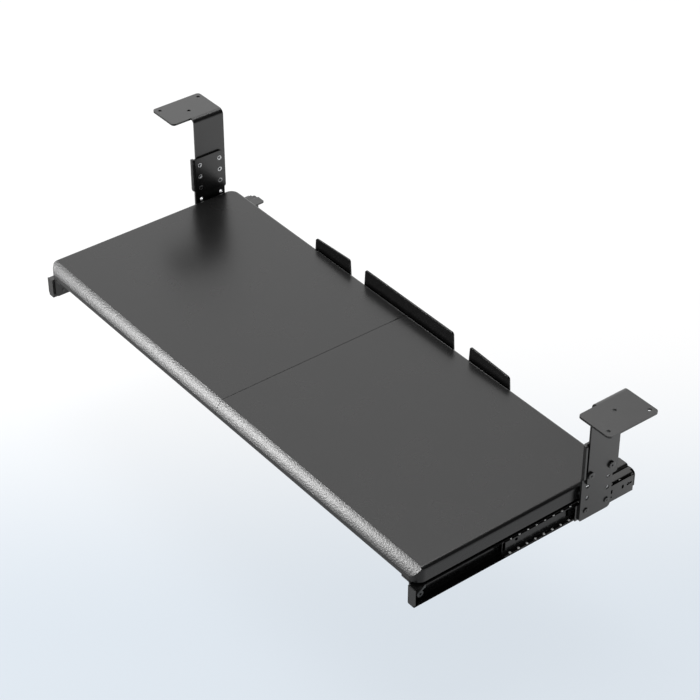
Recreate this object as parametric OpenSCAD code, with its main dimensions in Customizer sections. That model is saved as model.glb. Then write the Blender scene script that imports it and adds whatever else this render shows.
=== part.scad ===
// Slide-out keyboard tray that hangs under a desk on two height-adjustable steel brackets.
// Origin: middle of the four outer desk screws, on the underside of the desk.
// +X is the user's right, +Y points away from the user, +Z is up. Drawn with the tray pulled out.

/* [Tray board] */
// Overall width of the board
tray_l = 686; // [560:1:760]
// Overall depth of the board
tray_d = 268; // [240:1:300]
// Thickness of the board
board_t = 19; // [16:0.5:22]
// Radius of the board's corners seen from above
corner_r = 12; // [8:0.5:20]
// Radius of the upper edge at the sides and the back
edge_r = 3; // [1:0.25:4]
// Depth of the sloping palm edge at the front
palm_run = 9; // [5:0.5:14]
// Height of the sloping palm edge at the front
palm_drop = 12.5; // [6:0.5:14]
// How far the palm edge bulges from a flat slope
palm_bulge = 0.9; // [0.3:0.1:2]
// Gap between the two halves of the board
seam_gap = 0.6; // [0.2:0.1:1.5]
// Radius of the two upper edges along the gap
seam_r = 0.8; // [0.4:0.1:1.5]

/* [Height and reach] */
// From the underside of the desk to the top of the board
tray_drop = 111; // [104:0.5:118]
// How far the tray stands out in front of the middle of the desk screws
tray_reach = 227; // [222:1:240]

/* [Upper brackets] */
// Thickness of the bracket steel
steel_t = 2.5; // [2:0.25:3]
// Length of the desk plate, front to back
desk_plate_l = 68.6; // [62:0.2:80]
// Width of the desk plate, from the leg outwards
desk_plate_w = 52; // [46:0.5:70]
// Radius of the desk plate's corners
plate_corner_r = 3; // [2:0.5:8]
// Inner radius of the bends in the brackets
bend_r = 3; // [1.5:0.25:4]
// Width of the leg, front to back
leg_w = 42.5; // [38:0.5:50]
// From the height bolts down to the leg's lower end
leg_end = 13; // [9:0.5:16]
// Diameter of the holes for the desk screws
desk_hole_d = 4.5; // [4:0.25:6]
// Spacing of the two outer desk screws, front to back
desk_hole_pitch = 56; // [44:0.5:56]
// From the plate's outer edge to the outer desk screws
desk_hole_edge = 8; // [7:0.25:12]
// From the outer desk screws to the inner one
desk_hole_step = 21; // [14:0.5:24]

/* [Lower brackets] */
// Width of the lower bracket, front to back
low_w = 43.5; // [42:0.5:50]
// From the middle of the desk screws to the lower bracket's front edge
low_front = 13; // [12.5:0.25:16]
// Top of the lower bracket below the desk
low_top = 53.5; // [46:0.5:58]
// Length of the guide lip that wraps the front of the leg
guide_l = 45; // [30:0.5:60]
// How far the guide lip stands out past the leg's outer face
guide_reach = 1.1; // [0.5:0.1:3]
// Space between the guide lip and the leg
guide_gap = 3.75; // [1:0.25:5]
// Diameter of the bolt holes in the leg
bolt_hole_d = 4.5; // [4.2:0.1:5]
// Spacing of the two columns of height holes
bolt_cols = 29; // [24:0.5:31]
// From the middle of the desk screws to the middle of the two columns
bolt_mid = 10; // [8:0.25:11]
// Vertical step between height settings
height_step = 16; // [13:0.5:17]
// Height settings in each column
height_rows = 5; // [4:1:5]
// First row of height holes below the desk
first_row = 63.5; // [61:0.5:66]
// Row of holes that the leg is bolted to, counted from the top
used_row = 3; // [3:1:3]

/* [Slides] */
// Length of the rail under the tray
rail_l = 300; // [280:1:320]
// Height of the rail under the tray
rail_h = 24.5; // [24:0.25:28]
// Depth of the rail under the tray
rail_w = 10.9; // [10.5:0.1:12]
// Thickness of the rail steel
rail_t = 1.1; // [0.9:0.05:1.3]
// Gap between the board's side and the lower bracket
side_gap = 3.9; // [3:0.1:6]
// Length of the short rail on the lower bracket
short_rail_l = 83; // [78:1:90]
// From the middle of the desk screws to the short rail's front end
short_rail_front = 17; // [16:0.5:20]
// Diameter of the bearing balls
ball_d = 3.1; // [2.8:0.1:3.3]
// Running clearance round a bearing ball
ball_clear = 0.05; // [0.03:0.01:0.1]
// Spacing of the balls along the cage
ball_pitch = 11.65; // [10:0.05:12]
// Balls in each row of a cage
ball_count = 14; // [8:1:14]
// Length of the ball cage
cage_l = 179; // [168:1:179]
// Front end of the ball cage ahead of the middle of the desk screws
cage_front = 111; // [104:1:116]
// Thickness of the cage steel
cage_t = 0.8; // [0.6:0.1:1]
// Angle that the rail wraps round past the top of a ball
race_wrap = 35; // [20:1:45]

/* [Steel under the board] */
// Thickness of the side channels and the plates under the board
under_t = 2; // [1.5:0.25:2.5]
// Width of the side channel's flange under the board
flange_w = 15.5; // [13:0.5:24]
// How far the side channel and rail run on behind the board
rear_overrun = 29.5; // [24:0.5:34]
// Height of the middle keyboard stop above the board
stop_h = 18.2; // [12:0.2:24]
// Width of the middle keyboard stop at its foot
stop_mid_w = 163; // [120:1:180]
// Inner end of an outer keyboard stop from the middle of the board
stop_outer_from = 105.8; // [96:0.2:120]
// Width of an outer keyboard stop at its foot
stop_outer_w = 70.4; // [50:0.2:84]
// Drop of an outer stop's top edge towards its outer end
stop_fall = 3.5; // [0:0.1:6]
// Draw-in of each end of a stop from foot to top
stop_draw = 2.4; // [1:0.1:4]
// Depth of the stop plate's foot under the board
stop_foot = 38; // [30:0.5:60]

/* [Fasteners] */
// Shank diameter of a height bolt
bolt_d = 4; // [3.5:0.1:4]
// Head diameter of a height bolt
bolt_head_d = 8.6; // [7.5:0.1:9.5]
// Head height of a height bolt
bolt_head_h = 2.9; // [2:0.1:3.4]
// Wall of a press-in nut round its bore
nut_wall = 0.8; // [0.6:0.1:1]
// How far a press-in nut lies below the lower bracket's outer face
nut_recess = 0.5; // [0.3:0.1:0.8]
// How far a height bolt passes its nut
bolt_tip = 0.5; // [0.3:0.1:1.5]
// Shank diameter of the screws that hold steel to the board
screw_d = 3.5; // [3:0.1:4]
// Depth that a screw reaches into the board
screw_bite = 12; // [8:0.5:14]
// Shank diameter of the rivets and rail screws
rivet_d = 3.2; // [2.8:0.1:3.6]
// Radial clearance of a shank in its hole
hole_clear = 0.08; // [0.05:0.01:0.2]

/* [Hidden] */
$fn = 48;

// Overlap given to a cutting tool, so that it passes its surface
cut = 1;

// Board
half_l = tray_l / 2;
board_top = -tray_drop;
board_low = board_top - board_t;
front_y = -tray_reach;
back_y = front_y + tray_d;
foot_r = 1;
dowel_d = 8;
dowel_l = 30;
dowel_ys = [for (k = [0.12, 0.45, 0.75]) front_y + k * tray_d];

// Slides, from the tray outwards
low_in = half_l + side_gap;
low_out = low_in + steel_t;
short_out = low_in;
rail_out_gap = 2.5;
rail_out = low_in - rail_out_gap;
rail_in = rail_out - rail_w;
rail_gap_top = 0.5;
rail_top = board_low - under_t - rail_gap_top;
rail_mid = rail_top - rail_h / 2;
rail_rear = back_y + rear_overrun;
rail_front = rail_rear - rail_l;
ball_r = ball_d / 2;
race_r = ball_r + ball_clear;
rail_lead = 2.5;
rear_lip_low = rail_mid - rail_h / 2 + 3;
lower_race_back = 6;
slot_back = 31.5;
hole_back = 15.4;
key_back = 7.5;
key_tail = 3.6;
ball_z = rail_h / 2 - rail_t - race_r;
ball_x = rail_out - 2.2;
cage_x = rail_in + rail_t + 4.8;
cage_reach = ball_x + 1.8;
cage_half = ball_z + cage_t / 2;
first_ball = -cage_front + 8.7;
short_half = rail_h / 2 - 2.05;
rib_top = ball_z - race_r;
rib_x = cage_x + cage_t + 1.2;
rail_screw_z = rail_mid;

// Upper brackets, from the leg outwards
leg_in = low_out;
leg_out = leg_in + steel_t;
plate_out = leg_in + desk_plate_w;
plate_back = desk_plate_l / 2;
plate_in = leg_out + bend_r + 1.1;
leg_front = plate_back - leg_w;
leg_low = -first_row - (used_row - 1) * height_step - leg_end;
desk_x = plate_out - desk_hole_edge;

// Lower brackets
low_y0 = -low_front;
low_y1 = low_y0 + low_w;
low_bottom = rail_mid - 11.2;
guide_y = leg_front - guide_gap - steel_t;
bolt_ys = [bolt_mid - bolt_cols / 2, bolt_mid + bolt_cols / 2];
row_zs = [for (i = [0 : height_rows - 1]) -first_row - i * height_step];
bolt_z = row_zs[used_row - 1];
nut_r = bolt_d / 2 + nut_wall;
nut_out = low_out - nut_recess;

// Steel under the board
channel_in = rail_in - flange_w;
channel_front = rail_front + rail_lead;
channel_low = rail_mid - rail_h / 2 + 1.5;
channel_screw_x = channel_in + (flange_w - under_t) / 2;
channel_screw_ys = [for (k = [0.06, 0.36, 0.66, 0.93]) front_y + k * tray_d];
rivet_ys = [for (k = [0.45, 0.68, 0.93]) rail_front + k * rail_l];
bumper_y = rail_front + 12.5;
bumper_z = rail_mid - 4.4;
bumper_r = 3.9;
bumper_pin_r = 1.4;
screw_head_d = 2 * screw_d;
screw_head_h = 1.9;
stop_gap = 0.3;
stop_in = back_y + stop_gap;
stop_out = stop_in + under_t;
stop_edge = stop_outer_from + stop_outer_w;
stop_screw_y = back_y - stop_foot / 2 - 5;
stop_screw_xs = [for (k = [0.22, 0.55, 0.88]) k * stop_edge];
join_l = 120;
join_w = 40;
join_y = front_y + 0.225 * tray_d;
join_screws = [0.375 * join_l, 0.25 * join_w];

// A block between two opposite corners
module block(lo, hi) translate(lo) cube(hi - lo);

// Turns a flat drawing of (y, z) into a slab from x0 to x1
module slab_x(x0, x1) translate([x0, 0, 0]) rotate([90, 0, 90]) linear_extrude(x1 - x0) children();

// Turns a flat drawing of (x, z) into a bar from y0 to y1
module bar_y(y0, y1) translate([0, y1, 0]) rotate([90, 0, 0]) linear_extrude(y1 - y0) children();

// A round bar along X from x0 to x1
module rod_x(x0, x1, y, z, r) translate([x0, y, z]) rotate([0, 90, 0]) cylinder(h = x1 - x0, r = r);

// A round bar along Z from z0 to z1
module rod_z(z0, z1, x, y, r) translate([x, y, z0]) cylinder(h = z1 - z0, r = r);

function unit(v) = v / norm(v);
function toward(p, q) = unit(q - p);
function half_angle(a, b) = acos(a * b) / 2;

// A polygon whose convex corners are rounded, each with its own radius
module soft_polygon(pts, rs) {
    n = len(pts);
    legs = [for (i = [0 : n - 1]) [toward(pts[i], pts[(i + n - 1) % n]), toward(pts[i], pts[(i + 1) % n])]];
    polygon([for (i = [0 : n - 1]) let (a = legs[i][0], b = legs[i][1], h = half_angle(a, b))
        each rs[i] > 0 ? [pts[i] + a * rs[i] / tan(h), pts[i] + b * rs[i] / tan(h)] : [pts[i]]]);
    for (i = [0 : n - 1]) {
        a = legs[i][0];
        b = legs[i][1];
        if (rs[i] > 0) translate(pts[i] + unit(a + b) * rs[i] / sin(half_angle(a, b))) circle(rs[i]);
    }
}

// What a radius takes off the square corner at p; sx and sy point into the sheet
module corner_waste(p, sx, sy, r) translate(p) difference() {
    polygon([[-sx * cut, -sy * cut], [sx * r, -sy * cut], [sx * r, sy * r], [-sx * cut, sy * r]]);
    translate([sx * r, sy * r]) circle(r);
}

// Puts a right-hand piece on the left
module left_of() mirror([1, 0, 0]) children();

// Board half seen from above
module board_plan() soft_polygon(
    [[seam_gap / 2, front_y], [half_l, front_y], [half_l, back_y], [seam_gap / 2, back_y]],
    [0, corner_r, corner_r, 0]);

// Cross-section from front to back, with the palm edge and the rounded back
module board_depth_section() {
    brow = [front_y + palm_run, board_top];
    chin = [front_y, board_top - palm_drop];
    chord = norm(brow - chin);
    bow_r = chord * chord / (8 * palm_bulge) + palm_bulge / 2;
    inward = [palm_drop, -palm_run] / chord;
    difference() {
        polygon([[front_y, board_low], [back_y, board_low], [back_y, board_top], [front_y, board_top]]);
        corner_waste([front_y, board_low], 1, 1, foot_r);
        corner_waste([back_y, board_low], -1, 1, foot_r);
        corner_waste([back_y, board_top], -1, -1, edge_r);
        difference() {
            polygon([brow, brow + [0, cut], [front_y - cut, board_top + cut], chin - [cut, 0], chin]);
            translate((brow + chin) / 2 + inward * (bow_r - palm_bulge)) circle(bow_r, $fn = 96);
        }
    }
}

// Cross-section from the seam to the side
module board_width_section() difference() {
    polygon([[seam_gap / 2, board_low], [half_l, board_low], [half_l, board_top], [seam_gap / 2, board_top]]);
    corner_waste([half_l, board_low], -1, 1, foot_r);
    corner_waste([half_l, board_top], -1, -1, edge_r);
    corner_waste([seam_gap / 2, board_top], 1, -1, seam_r);
}

// What the edge radius takes off round a corner of the board
module corner_edge_waste() rotate_extrude(angle = 90) difference() {
    translate([corner_r - edge_r, -edge_r]) square(edge_r + cut);
    translate([corner_r - edge_r, -edge_r]) circle(edge_r);
}

module board_half() {
    difference() {
        intersection() {
            translate([0, 0, board_low - cut]) linear_extrude(board_t + 2 * cut) board_plan();
            slab_x(0, half_l + cut) board_depth_section();
            bar_y(front_y - cut, back_y + cut) board_width_section();
        }
        translate([half_l - corner_r, back_y - corner_r, board_top]) corner_edge_waste();
        translate([half_l - corner_r, front_y + corner_r, board_top]) rotate([0, 0, -90]) corner_edge_waste();
        for (y = dowel_ys) rod_x(-cut, dowel_l / 2 + 1, y, board_low + board_t / 2, dowel_d / 2 + hole_clear);
        for (y = channel_screw_ys) pilot(channel_screw_x, y);
        for (x = stop_screw_xs) pilot(x, stop_screw_y);
        for (s = [-1, 1]) pilot(join_screws[0], join_y + s * join_screws[1]);
    }
}

// Blind pilot hole for a screw from below
module pilot(x, y) rod_z(board_low - cut, board_low + screw_bite - under_t + 0.5, x, y, screw_d / 2 + hole_clear);

// Pan-head screw from below through a plate under the board, with its cross recess
module board_screw(x, y) {
    head_low = board_low - under_t - screw_head_h;
    difference() {
        union() {
            rod_z(board_low - under_t, board_low + screw_bite - under_t, x, y, screw_d / 2);
            translate([x, y, head_low]) pan_head(screw_head_d / 2, screw_head_h);
        }
        translate([x, y, head_low]) cross_recess(screw_head_d * 0.55, screw_head_h * 0.6);
    }
}

// A pan head with its flat face at z = h and its crown at z = 0
module pan_head(r, h) rotate_extrude() intersection() {
    square([r, h]);
    union() {
        translate([0, h * 0.45]) square([r, h]);
        square([r - h * 0.45, h]);
        translate([r - h * 0.45, h * 0.45]) circle(h * 0.45);
    }
}

// A cross-shaped driver recess, cut upwards from z = 0
module cross_recess(size, depth) for (a = [0, 90]) rotate([0, 0, a])
    translate([-size / 2, -size / 8, -cut]) cube([size, size / 4, depth + cut]);

// Side channel: a flange under the board and a web that carries the rail
module side_channel() {
    web_x = rail_in - under_t;
    flange_low = board_low - under_t;
    outer_r = under_t + 1;
    difference() {
        bar_y(channel_front, rail_rear - 0.5) difference() {
            polygon([[channel_in, flange_low], [web_x, flange_low], [web_x, channel_low],
                [rail_in, channel_low], [rail_in, board_low], [channel_in, board_low]]);
            corner_waste([rail_in, board_low], -1, -1, outer_r);
        }
        // Rounded rear and front corners of the flange
        for (e = [[rail_rear - 0.5, -1], [channel_front, 1]])
            translate([0, 0, flange_low - cut]) linear_extrude(under_t + 2 * cut)
                corner_waste([channel_in, e[0]], 1, e[1], 3);
        // Rounded lower corners of the web
        for (e = [[rail_rear - 0.5, -1], [channel_front, 1]])
            slab_x(web_x - cut, rail_in + cut) corner_waste([e[0], channel_low], e[1], 1, 4);
        for (y = channel_screw_ys)
            rod_z(flange_low - cut, board_low + cut, channel_screw_x, y, screw_d / 2 + hole_clear);
        for (y = rivet_ys) rod_x(web_x - cut, rail_in + cut, y, rail_mid, rivet_d / 2 + hole_clear);
        rod_x(web_x - cut, rail_in + cut, bumper_y, bumper_z, bumper_pin_r + hole_clear);
    }
}

// Half of the tray rail's section above its middle line, drawn in (x, z)
module race_half() {
    top = rail_h / 2;
    polygon([[rail_in, 0], [rail_in + rail_t, 0], [rail_in + rail_t, top - rail_t],
        [ball_x, top - rail_t], [ball_x, top], [rail_in, top]]);
    intersection() {
        translate([ball_x, ball_z]) difference() {
            circle(race_r + rail_t);
            circle(race_r);
        }
        reach = 2 * rail_t + race_r;
        translate([ball_x, ball_z])
            polygon([[0, 0], [reach * sin(race_wrap), reach * cos(race_wrap)], [0, reach]]);
    }
}

// Tray rail: a channel open to the outside, whose curled edges are the ball races
module tray_rail() {
    lip_low = rail_mid - rail_h / 2 + 1;
    difference() {
        union() {
            difference() {
                bar_y(rail_front, rail_rear) difference() {
                    translate([0, rail_mid]) union() {
                        race_half();
                        mirror([0, 1]) race_half();
                    }
                    corner_waste([rail_in, rail_mid + rail_h / 2], 1, -1, 1.5);
                    corner_waste([rail_in, rail_mid - rail_h / 2], 1, 1, 1.5);
                }
                // The lower race stops short at the back
                block([rail_in + rail_t, rail_rear - lower_race_back, rail_mid - rail_h / 2 - cut],
                    [rail_out + cut, rail_rear + cut, rear_lip_low]);
            }
            // Folded lip that closes the front end
            bar_y(rail_front, rail_front + rail_t)
                soft_polygon([[rail_in, rail_top - 0.6], [rail_in, lip_low], [rail_out, lip_low],
                    [rail_out, rail_top - 0.6]], [1.5, 4, 4, 1.5]);
            // Folded lip at the back that catches the ball cage when the tray is fully out
            bar_y(rail_rear - rail_t, rail_rear)
                soft_polygon([[rail_in, rail_top], [rail_in, rear_lip_low], [rail_out, rear_lip_low],
                    [rail_out, rail_top]], [1.5, 0, 3, 6]);
        }
        for (y = rivet_ys) rod_x(rail_in - cut, rail_in + rail_t + cut, y, rail_mid, rivet_d / 2 + hole_clear);
        rod_x(rail_in - cut, rail_in + rail_t + cut, bumper_y, bumper_z, bumper_pin_r + hole_clear);
    }
}

// Bumper: a moulded ring with a tail, on a pin through the rail and the channel
module bumper() {
    x0 = rail_in + rail_t;
    difference() {
        union() {
            slab_x(x0, x0 + 3.4) difference() {
                union() {
                    translate([bumper_y, bumper_z]) circle(bumper_r);
                    soft_polygon([[bumper_y, bumper_z + 1.5], [bumper_y + 6.8, bumper_z + 5.5],
                        [bumper_y + 6.8, bumper_z + 9], [bumper_y + 3.4, bumper_z + 9],
                        [bumper_y - 1, bumper_z + 3]], [0, 1, 1, 1, 0]);
                }
                translate([bumper_y, bumper_z]) circle(1.5);
            }
            rod_x(x0, x0 + 1, bumper_y, bumper_z, 2);
            rod_x(rail_in - under_t - 0.8, x0, bumper_y, bumper_z, bumper_pin_r);
        }
    }
}

// Rivet with a low round head on each side of the channel's web and the rail
module rail_rivets() for (y = rivet_ys) {
    rod_x(rail_in - under_t, rail_in + rail_t, y, rail_mid, rivet_d / 2);
    translate([rail_in + rail_t + 1.1, y, rail_mid]) rotate([0, -90, 0]) pan_head(rivet_d, 1.1);
    translate([rail_in - under_t - 1.2, y, rail_mid]) rotate([0, 90, 0]) pan_head(rivet_d * 1.1, 1.2);
}

// Ball cage: a thin channel with a row of ball holes in each edge
module ball_cage() {
    y0 = -cage_front;
    y1 = y0 + cage_l;
    half = ball_z + cage_t / 2;
    difference() {
        bar_y(y0, y1) translate([0, rail_mid]) difference() {
            polygon([[cage_x, -half], [cage_reach, -half], [cage_reach, -half + cage_t],
                [cage_x + cage_t, -half + cage_t], [cage_x + cage_t, half - cage_t],
                [cage_reach, half - cage_t], [cage_reach, half], [cage_x, half]]);
            corner_waste([cage_x, -half], 1, 1, 1.2);
            corner_waste([cage_x, half], 1, -1, 1.2);
        }
        for (i = [0 : ball_count - 1])
            rod_z(rail_mid - half - cut, rail_mid + half + cut, ball_x, ball_y(i), ball_r + ball_clear);
        // Openings near both ends and locating hole in the web
        for (y = [y0 + 2.6, y0 + 0.49 * cage_l, y1 - 5.6])
            slab_x(cage_x - cut, cage_x + cage_t + cut) soft_polygon([[y, rail_mid - 5.5], [y + 3.6, rail_mid - 5.5],
                [y + 3.6, rail_mid + 5.5], [y, rail_mid + 5.5]], [1, 1, 1, 1]);
        rod_x(cage_x - cut, cage_x + cage_t + cut, y0 + 15, rail_mid + 2, 1.5);
    }
}

function ball_y(i) = first_ball + i * ball_pitch;

module balls() for (i = [0 : ball_count - 1], s = [-1, 1])
    translate([ball_x, ball_y(i), rail_mid + s * ball_z]) sphere(ball_r);

// Short rail: a flat plate with two ribs that the balls run on
module short_rail() {
    y0 = -short_rail_front;
    plate_in_x = short_out - rail_t;
    difference() {
        bar_y(y0, y0 + short_rail_l) translate([0, rail_mid]) rail_section();
        for (y = bolt_ys) rod_x(plate_in_x - cut, short_out + cut, y, rail_screw_z, rivet_d / 2 + hole_clear);
        // Fixing slots of the rail behind the bracket
        slab_x(plate_in_x - cut, short_out + cut) translate([0, rail_mid]) rail_slots(y0 + short_rail_l);
    }
}

// The short rail's section round its middle line, drawn in (x, z)
module rail_section() {
    plate_in_x = short_out - rail_t;
    rib_low = rib_top - rail_t;
    polygon([[short_out, short_half], [plate_in_x, short_half], [plate_in_x, rib_top],
        [rib_x, rib_top], [rib_x, rib_low], [plate_in_x, rib_low],
        [plate_in_x, -rib_low], [rib_x, -rib_low], [rib_x, -rib_top], [plate_in_x, -rib_top],
        [plate_in_x, -short_half], [short_out, -short_half]]);
}

// Slots and holes in the free rear end of the short rail, measured from its end
module rail_slots(y_end) {
    slot = y_end - slot_back;
    key = y_end - key_back;
    soft_polygon([[slot - 1, -0.6], [slot + 1, -0.6], [slot + 1, 4], [slot - 1, 4]], [1, 1, 1, 1]);
    translate([slot, -4.6]) circle(1);
    translate([y_end - hole_back, -0.6]) circle(1.7);
    translate([key, 0]) circle(1.7);
    soft_polygon([[key, -0.9], [y_end - key_tail, -0.9], [y_end - key_tail, 0.9], [key, 0.9]], [0, 0.9, 0.9, 0]);
}

// Lower bracket: a plate with two columns of press-in nuts and a lip that guides the leg
module lower_bracket() {
    lip_out = leg_out + guide_reach;
    lip_low = -low_top - guide_l;
    difference() {
        union() {
            slab_x(low_in, low_out) soft_polygon([[low_y0, low_bottom], [low_y1, low_bottom],
                [low_y1, -low_top], [low_y0, -low_top]], [3, 5, 6, 0]);
            translate([0, 0, lip_low]) linear_extrude(guide_l) difference() {
                polygon([[low_in, guide_y], [lip_out, guide_y], [lip_out, guide_y + steel_t],
                    [low_out, guide_y + steel_t], [low_out, low_y0 + 4], [low_in, low_y0 + 4]]);
                corner_waste([low_in, guide_y], 1, 1, steel_t + 0.8);
            }
        }
        // Rounded outer corners of the lip
        bar_y(guide_y - cut, guide_y + steel_t + cut) {
            corner_waste([lip_out, lip_low], -1, 1, 3);
            corner_waste([lip_out, -low_top], -1, -1, 2);
        }
        for (y = bolt_ys, z = row_zs) rod_x(low_in - cut, low_out + cut, y, z, nut_r + hole_clear);
        for (y = bolt_ys) rod_x(low_in - cut, low_out + cut, y, rail_screw_z, rivet_d / 2 + hole_clear);
    }
}

// Screws that hold the short rail to the lower bracket, heads outside
module rail_screws() for (y = bolt_ys) difference() {
    union() {
        rod_x(short_out - rail_t - 1.4, low_out, y, rail_screw_z, rivet_d / 2);
        translate([low_out + 1.3, y, rail_screw_z]) rotate([0, -90, 0]) pan_head(3.4, 1.3);
    }
    translate([low_out + 1.3, y, rail_screw_z]) rotate([0, -90, 0]) cross_recess(3.6, 0.8);
}

// Upper bracket: a leg and a desk plate bent from one sheet
module upper_bracket() {
    outer = bend_r + steel_t;
    difference() {
        union() {
            // Leg, bend and the plate behind it
            bar_y(leg_front, plate_back) difference() {
                union() {
                    polygon([[leg_in, leg_low], [leg_out, leg_low], [leg_out, -steel_t - bend_r],
                        [leg_out + bend_r, -steel_t], [plate_in + plate_corner_r, -steel_t],
                        [plate_in + plate_corner_r, 0], [leg_in, 0]]);
                }
                corner_waste([leg_in, 0], 1, -1, outer);
            }
            // Desk plate, which runs further forward than the leg
            translate([0, 0, -steel_t]) linear_extrude(steel_t)
                soft_polygon([[plate_in, -plate_back], [plate_out, -plate_back],
                    [plate_out, plate_back], [plate_in, plate_back]],
                    [plate_corner_r, plate_corner_r, plate_corner_r, 0]);
        }
        // Round inside of the bend
        bar_y(leg_front - cut, plate_back + cut) translate([leg_out + bend_r, -steel_t - bend_r]) circle(bend_r);
        // Rounded lower corners of the leg
        slab_x(leg_in - cut, leg_out + cut) {
            corner_waste([leg_front, leg_low], 1, 1, 3);
            corner_waste([plate_back, leg_low], -1, 1, 3);
        }
        for (y = bolt_ys) rod_x(leg_in - cut, leg_out + cut, y, bolt_z, bolt_hole_d / 2);
        for (s = [-1, 1]) rod_z(-steel_t - cut, cut, desk_x, s * desk_hole_pitch / 2, desk_hole_d / 2);
        rod_z(-steel_t - cut, cut, desk_x - desk_hole_step, 0, desk_hole_d / 2);
    }
}

// Pan-head bolts through the leg into the lower bracket's nuts
module height_bolts() for (y = bolt_ys) difference() {
    union() {
        rod_x(low_in - bolt_tip, leg_out, y, bolt_z, bolt_d / 2);
        translate([leg_out + bolt_head_h, y, bolt_z]) rotate([0, -90, 0]) pan_head(bolt_head_d / 2, bolt_head_h);
    }
    translate([leg_out + bolt_head_h, y, bolt_z]) rotate([0, -90, 0]) cross_recess(5, 1.9);
}

// Round nuts pressed into the lower bracket from inside, one for every height setting
module height_nuts() for (y = bolt_ys, z = row_zs) difference() {
    rod_x(low_in, nut_out, y, z, nut_r);
    rod_x(low_in - cut, nut_out + cut, y, z, bolt_d / 2 + hole_clear);
}

// Keyboard stop plate: a foot under both halves of the board and three upturned tabs
module rear_stop_plate() {
    mid = stop_mid_w / 2;
    tall = board_top + stop_h;
    low_tall = tall - 2;
    difference() {
        union() {
            block([-stop_edge, back_y - stop_foot, board_low - under_t], [stop_edge, back_y - 3, board_low]);
            for (tab = [[-mid, mid], [stop_outer_from, stop_edge], [-stop_edge, -stop_outer_from]])
                slab_x(tab[0], tab[1]) difference() {
                    polygon([[back_y - 4, board_low - under_t], [stop_out, board_low - under_t],
                        [stop_out, board_low + 1], [stop_in, board_low + 1], [stop_in, board_low],
                        [back_y - 4, board_low]]);
                    corner_waste([stop_out, board_low - under_t], -1, 1, under_t + 0.2);
                }
            bar_y(stop_in, stop_out) {
                soft_polygon([[-mid, board_low], [mid, board_low], [mid - stop_draw, tall],
                    [-mid + stop_draw, tall]], [0, 0, 3, 3]);
                outer_tab(low_tall);
                mirror([1, 0]) outer_tab(low_tall);
            }
        }
        for (x = stop_screw_xs, s = [-1, 1])
            rod_z(board_low - under_t - cut, board_low + cut, s * x, stop_screw_y, screw_d / 2 + hole_clear);
    }
}

module outer_tab(top) soft_polygon([[stop_outer_from, board_low], [stop_edge, board_low],
    [stop_edge - stop_draw, top - stop_fall], [stop_outer_from + stop_draw, top]], [0, 0, 3, 3]);

// Plate that joins the two halves near the front
module joining_plate() difference() {
    translate([0, 0, board_low - under_t]) linear_extrude(under_t)
        soft_polygon([[-join_l / 2, join_y - join_w / 2], [join_l / 2, join_y - join_w / 2],
            [join_l / 2, join_y + join_w / 2], [-join_l / 2, join_y + join_w / 2]], [4, 4, 4, 4]);
    for (sx = [-1, 1], sy = [-1, 1]) rod_z(board_low - under_t - cut, board_low + cut,
        sx * join_screws[0], join_y + sy * join_screws[1], screw_d / 2 + hole_clear);
}

module board_dowels() for (y = dowel_ys)
    rod_x(-dowel_l / 2, dowel_l / 2, y, board_low + board_t / 2, dowel_d / 2);

module channel_screws() for (sx = [-1, 1], y = channel_screw_ys) board_screw(sx * channel_screw_x, y);

module plate_screws() {
    for (sx = [-1, 1], x = stop_screw_xs) board_screw(sx * x, stop_screw_y);
    for (sx = [-1, 1], sy = [-1, 1]) board_screw(sx * join_screws[0], join_y + sy * join_screws[1]);
}

board_colour = "#3a3a3a";
steel_colour = "#2b2b2c";
rail_colour = "#1c1c1d";

color(board_colour) left_of() board_half();  // left_board
color(board_colour) board_half();  // right_board
color("burlywood") board_dowels();
color(rail_colour) rear_stop_plate();
color(steel_colour) joining_plate();
color(steel_colour) left_of() side_channel();  // left_side_channel
color(steel_colour) side_channel();  // right_side_channel
color(rail_colour) left_of() tray_rail();  // left_tray_rail
color(rail_colour) tray_rail();  // right_tray_rail
color("silver") left_of() rail_rivets();  // left_rail_rivets
color("silver") rail_rivets();  // right_rail_rivets
color("#6a6a6a") left_of() bumper();  // left_bumper
color("#6a6a6a") bumper();  // right_bumper
color(rail_colour) channel_screws();
color(rail_colour) plate_screws();
color("#555555") left_of() ball_cage();  // left_ball_cage
color("#555555") ball_cage();  // right_ball_cage
color("gainsboro") left_of() balls();  // left_balls
color("gainsboro") balls();  // right_balls
color(rail_colour) left_of() short_rail();  // left_short_rail
color(rail_colour) short_rail();  // right_short_rail
color(steel_colour) left_of() lower_bracket();  // left_lower_bracket
color(steel_colour) lower_bracket();  // right_lower_bracket
color(rail_colour) left_of() rail_screws();  // left_rail_screws
color(rail_colour) rail_screws();  // right_rail_screws
color(steel_colour) left_of() upper_bracket();  // left_upper_bracket
color(steel_colour) upper_bracket();  // right_upper_bracket
color(rail_colour) left_of() height_bolts();  // left_height_bolts
color(rail_colour) height_bolts();  // right_height_bolts
color("silver") left_of() height_nuts();  // left_height_nuts
color("silver") height_nuts();  // right_height_nuts
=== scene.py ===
import math

import bmesh
import bpy
from mathutils import Matrix, Vector


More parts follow.
